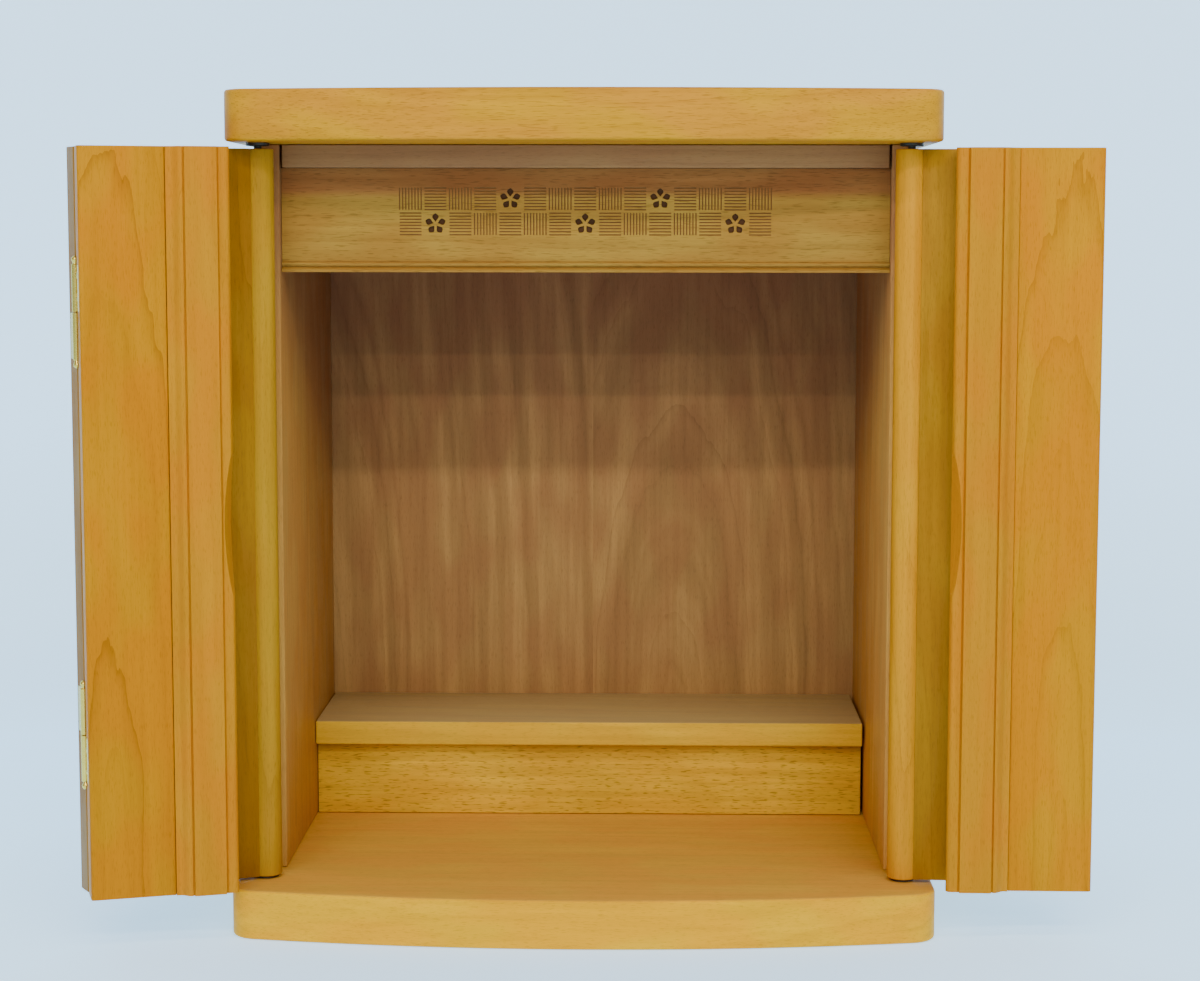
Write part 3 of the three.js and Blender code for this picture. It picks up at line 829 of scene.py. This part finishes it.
# %% Posts and pivots
def turned(name, x, y, profile, material, steps=64):
    """A profile of (radius, height) pairs spun about an upright axis."""
    verts, rings = [], []
    for radius, level in profile:
        if radius == 0:
            rings.append([len(verts)] * steps)
            verts.append((x, y, level))
        else:
            rings.append(list(range(len(verts), len(verts) + steps)))
            verts += [(x + radius * math.cos(math.tau * i / steps), y + radius * math.sin(math.tau * i / steps),
                       level) for i in range(steps)]
    faces = []
    for lower, upper in zip(rings, rings[1:]):
        for i in range(steps):
            j = (i + 1) % steps
            face = list(dict.fromkeys([lower[i], lower[j], upper[j], upper[i]]))
            faces.append(tuple(face))
    return smooth(piece_from(name, verts, faces, material))


def post(side, material):
    axis = leaves[side, "outer"].axis
    ends = [(10 - 0.8 + x, DOOR_HIGH - 0.8 + z) for x, z in arc(0, 0, 0.8, 0, 90, 5)]
    feet = [(x, DOOR_LOW + DOOR_HIGH - z) for x, z in reversed(ends)]
    profile = [(0, DOOR_LOW + 12), (3, DOOR_LOW + 12), (3, DOOR_LOW)] + feet + ends
    profile += [(3, DOOR_HIGH), (3, DOOR_HIGH - 12), (0, DOOR_HIGH - 12)]
    piece = turned(side + "_hinge_post_dressed", axis.x, axis.y, profile, material)
    dress(piece, leaves[side, "outer"].body, "post_wood", side + "_hinge_post")


def pivots(side):
    axis = leaves[side, "outer"].axis
    top, foot = millimetres(side + "_top_pivot"), millimetres(side + "_bottom_pivot")
    face = top[1][2] - 1.8
    profile = [(0, top[0][2]), (2.2, top[0][2]), (2.5, top[0][2] + 0.4), (2.5, face), (7.2, face),
               (7.5, face + 0.3), (7.5, top[1][2]), (0, top[1][2])]
    dress(turned(side + "_top_pivot_dressed", axis.x, axis.y, profile, dark_steel), "cabinet", "pivot_steel",
          side + "_top_pivot")
    face = DOOR_LOW - 0.45
    profile = [(0, foot[0][2]), (7.5, foot[0][2]), (7.5, face - 0.3), (7.2, face), (2.5, face),
               (2.5, foot[1][2] - 0.4), (2.2, foot[1][2]), (0, foot[1][2])]
    dress(turned(side + "_bottom_pivot_dressed", axis.x, axis.y, profile, dark_steel), "cabinet", "pivot_steel",
          side + "_bottom_pivot")


post_looks = dict(pale=(0.60, 0.30, 0.012), deep=(0.29, 0.117, 0.004), warm=(0.55, 0.24, 0.010))
# The two tones are painted light: the left post is darker and bluer because it stands in the left door's shadow, the
# right one brighter because it is better lit.
for side, seed, tone in (("left", 15, (0.82, 0.88, 1.2)), ("right", 16, (1.15, 1.04, 1.0))):
    post(side, leaves[side, "outer"].wood(side + "_post_wood", seed=seed, tone=tone, **post_looks))
    pivots(side)
print("posts stand at", [round(leaves[side, "outer"].axis.x, 1) for side in ("left", "right")])

# %% [markdown]
# ## Inner leaves
#
# The inner leaf is a veneered panel with a solid moulded strip along its meeting edge. From the
# panel the strip climbs through a small fillet and an ogee to a flat face, and ends in a bead with
# a rounded corner. At half height a long shallow scoop for the fingers is cut across that corner.

# %% Inner panels
def closed_hinge_x():
    slant = math.radians(12)
    return -207.5 + HINGE_U * math.cos(slant) + HINGE_W * math.sin(slant)


def meeting_edge(w):
    slant = math.radians(6.5)
    return (-0.4 - closed_hinge_x() - w * math.sin(slant)) / math.cos(slant)


INSIDE = -0.5
PANEL_FACE = INSIDE - 20
STILE_FACE = PANEL_FACE - 6.5
STILE_START = meeting_edge(STILE_FACE) - 40


def inner_panel(side, material):
    leaf = leaves[side, "inner"]
    outline = arc(2.5, INSIDE - 2, 2, 90, 180, 6) + arc(2.5, PANEL_FACE + 2, 2, 180, 270, 6)
    outline += [(STILE_START - 0.3, PANEL_FACE), (STILE_START - 0.3, INSIDE)]
    panel = leaf.prism(side + "_inner_panel_dressed", outline, DOOR_LOW, DOOR_HIGH, material)
    ease(panel, 0.35, 2, 50)
    for place, centre in HINGE_LEVELS.items():
        level = plate_level(place, place == "upper")
        sides = [(-1, -14.8), (2.2, -14.8), (2.2, 0), (-1, 0)]
        recess = leaf.prism("recess", sides, level - 14.8, level + 14.8, material)
        cut(panel, barrel_mortise(leaf, 0, 0, centre, material), recess)
    smooth(panel)
    dress(panel, leaf.body, "door_veneer", side + "_inner_panel")
    return panel


panel_looks = dict(pale=(0.56, 0.262, 0.0012), deep=(0.25, 0.088, 0.0012), warm=(0.575, 0.192, 0.001),
                   bands=0.2, lines=0.65, streaks=0.12, lean=(0.0, 0.09), coat=0.0)
left_panel_wood = leaves["left", "inner"].wood("left_panel_wood", seed=17, tone=(0.94, 0.80, 1), trunk=(16, 20),
                                               **panel_looks)
right_panel_wood = leaves["right", "inner"].wood("right_panel_wood", seed=18, tone=(1.02, 0.88, 1),
                                                 trunk=(-22, 20), **panel_looks)
inner_panel("left", left_panel_wood)
inner_panel("right", right_panel_wood)
print("inner panels run from u 0.5 to", round(STILE_START - 0.3, 2))

# %% Meeting stiles
def stile_outline():
    edge = meeting_edge(STILE_FACE)
    flat_start, flat_end = STILE_START + 11.5, edge - 9
    bead = STILE_FACE + 2
    corner_end = meeting_edge(bead + 3.5)
    points = [(STILE_START, INSIDE), (STILE_START, PANEL_FACE - 1.2), (STILE_START + 1.6, PANEL_FACE - 1.2)]
    for i in range(1, 25):
        t = i / 24
        climb = t - math.sin(math.tau * t) / math.tau
        points.append((STILE_START + 1.6 + 8.3 * t, PANEL_FACE - 1.2 - 4.4 * climb))
    points += [(flat_start - 1.3, PANEL_FACE - 4.5), (flat_start - 0.6, PANEL_FACE - 4.5)]
    points += [(flat_start - 0.5, STILE_FACE + 0.5), (flat_start - 0.35, STILE_FACE + 0.15)]
    points += [(flat_start, STILE_FACE), (flat_end, STILE_FACE)]
    points += [(flat_end + 0.5, bead + 0.6), (flat_end + 1.4, bead)]
    points += arc(corner_end - 3.5, bead + 3.5, 3.5, -90, 0, 12)
    points.append((meeting_edge(INSIDE), INSIDE))
    return points


def scoop_cutter(leaf, material):
    """A wide drum laid across the stile's front corner."""
    across, deep, length = 8, 15, 118
    span = math.hypot(across, deep)
    radius = (length / 2) ** 2 / (2 * across * deep / span)
    out_u, out_w = deep / span, -across / span
    edge = meeting_edge(STILE_FACE)
    centre = (edge - across / 2 + radius * out_u, STILE_FACE + deep / 2 + radius * out_w)
    middle = (DOOR_LOW + DOOR_HIGH) / 2
    verts, steps = [], 720
    for side in (-2 * span, 2 * span):
        rim = []
        for i in range(steps):
            angle = math.tau * i / steps
            reach, rise = radius * math.cos(angle), radius * math.sin(angle)
            rim.append(((centre[0] + out_u * reach - out_w * side, centre[1] + out_w * reach + out_u * side), rise))
        spots = leaf.place([place for place, _ in rim])
        verts += [(x, y, middle + rise) for (x, y), (_, rise) in zip(spots, rim)]
    faces = [tuple(range(steps)), tuple(range(steps, 2 * steps))]
    faces += [(i, (i + 1) % steps, steps + (i + 1) % steps, steps + i) for i in range(steps)]
    return piece_from("drum", verts, faces, material)


def meeting_stile(side, material):
    leaf = leaves[side, "inner"]
    stile = leaf.prism(side + "_meeting_stile_dressed", stile_outline(), DOOR_LOW, DOOR_HIGH, material)
    cut(stile, scoop_cutter(leaf, material))
    smooth(stile, 28)
    dress(stile, leaf.body, "moulded_wood", side + "_meeting_stile")
    return stile


stile_looks = dict(pale=(0.54, 0.22, 0.006), deep=(0.32, 0.100, 0.002), warm=(0.56, 0.165, 0.003), streaks=0.15)
for side, seed in (("left", 19), ("right", 20)):
    material = leaves[side, "inner"].wood(side + "_stile_wood", seed=seed, **stile_looks)
    print(meeting_stile(side, material).name)

# %% [markdown]
# ## Fold hinges
#
# Each fold has two brass hinges with a barrel and a ball at either tip. One half of the barrel
# belongs to each leaf and carries a plate, let into the leaf's edge; the inner leaf's plates are held
# by domed screws. The screws repeat, so a tree sets one on each of a few points.

# %% Hinge halves
def half_barrel(name, x, y, centre, upper):
    tip = 59.5 / 2
    ball = tip + 0.6 + 2.3
    profile = [(0, 0.15), (2.1, 0.15), (2.4, 0.45), (2.4, tip - 0.4), (2.1, tip), (1.5, tip)]
    for i in range(1, 15):
        angle = math.radians(-50 + 140 * i / 14)
        profile.append((max(0.0, 2.3 * math.cos(angle)) if i < 14 else 0, ball + 2.3 * math.sin(angle)))
    levels = [(radius, centre + (level if upper else -level)) for radius, level in profile]
    return turned(name, x, y, levels, brass, 40)


def joined(name, *parts):
    """Several closed parts of one piece as one mesh."""
    work = bmesh.new()
    for part in parts:
        work.from_mesh(part.data)
    mesh = bpy.data.meshes.new(name)
    work.to_mesh(mesh)
    work.free()
    mesh.materials.append(parts[0].data.materials[0])
    for part in parts:
        bpy.data.objects.remove(part)
    piece = bpy.data.objects.new(name, mesh)
    bpy.context.collection.objects.link(piece)
    return piece


def united(name, first, second):
    union = first.modifiers.new("union", "BOOLEAN")
    union.object = second
    union.operation = "UNION"
    union.solver = "EXACT"
    settle(first)
    bpy.data.objects.remove(second)
    first.name = name
    return first


def hinge_half(side, place, which):
    leaf = leaves[side, which]
    upper = (place == "lower") == (which == "outer")
    centre, level = HINGE_LEVELS[place], plate_level(place, upper)
    name = side + "_" + place + "_hinge_" + which
    axis = leaf.place([(HINGE_U, HINGE_W) if which == "outer" else (0, 0)])[0]
    outline = outer_plate(0) if which == "outer" else [(0.5, -14.5), (1.6, -14.5), (1.6, 0), (0.5, 0)]
    plate = leaf.prism("plate", outline, level - 14.5, level + 14.5, brass)
    ease(plate, 0.25, 2)
    half = united(name + "_dressed", half_barrel("barrel", *axis, centre, upper), plate)
    smooth(half)
    dress(half, leaf.body, "hinge_brass", name)
    return half


for side in ("left", "right"):
    for place in ("upper", "lower"):
        for which in ("outer", "inner"):
            print(hinge_half(side, place, which).name)

# %% Domed screws
def domed_screws(material):
    tree = Shape("domed_screws", {"Radius": 2.0, "Rise": 0.22, "Slot": 0.45})
    radius = tree.size("Radius")
    sockets = {"Segments": 28, "Rings": 14, "Radius": radius}
    ball = tree.node("GeometryNodeMeshUVSphere", None, sockets).outputs[0]
    sockets = {"Geometry": ball, "Scale": tree.vector(1.0, 1.0, tree.size("Rise"))}
    dome = tree.node("GeometryNodeTransform", None, sockets).outputs[0]
    sockets = {"Size": tree.vector(radius * 3.0, tree.size("Slot"), radius * 0.3)}
    blade = tree.node("GeometryNodeMeshCube", None, sockets).outputs[0]
    blade = tree.moved(blade, 0.0, 0.0, radius * tree.size("Rise"))
    sockets = {"Mesh 1": dome, "Mesh 2": blade}
    slotted = tree.node("GeometryNodeMeshBoolean", {"operation": "DIFFERENCE", "solver": "EXACT"}, sockets).outputs[0]
    settings = {"data_type": "FLOAT_VECTOR"}
    facing = tree.node("GeometryNodeInputNamedAttribute", settings, {"Name": "facing"}).outputs[0]
    turned_to = tree.node("FunctionNodeAlignRotationToVector", {"axis": "Z"}, {"Vector": facing}).outputs[0]
    sockets = {"Points": tree.start.outputs["Geometry"], "Instance": slotted, "Rotation": turned_to}
    return tree.close(tree.node("GeometryNodeInstanceOnPoints", None, sockets).outputs[0], material)


screw_tree = domed_screws(brass)


def screws(side):
    """The four screws that hold a leaf's own two plates, near the outer end of each hinge."""
    leaf = leaves[side, "inner"]
    x, y = leaf.place([(0.5, -5.5)])[0]
    spots = [(x, y, HINGE_LEVELS["upper"] + rise) for rise in (22.8, 8.4)]
    spots += [(x, y, HINGE_LEVELS["lower"] - rise) for rise in (22.8, 8.4)]
    mesh = bpy.data.meshes.new("spots")
    mesh.from_pydata(spots, [], [])
    outward_u = Matrix.Rotation(leaf.turn, 2) @ Vector((-leaf.hand, 0))
    facing = mesh.attributes.new("facing", "FLOAT_VECTOR", "POINT")
    facing.data.foreach_set("vector", [outward_u.x, outward_u.y, 0.0] * len(spots))
    piece = grow(side + "_hinge_screws", screw_tree, mesh)
    piece.data.transform(Matrix.Scale(MM, 4))
    smooth(piece, 40)
    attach(piece, leaf.body)
    return piece


for side in ("left", "right"):
    print(screws(side).name, "at", len(HINGE_LEVELS) * 2, "places")
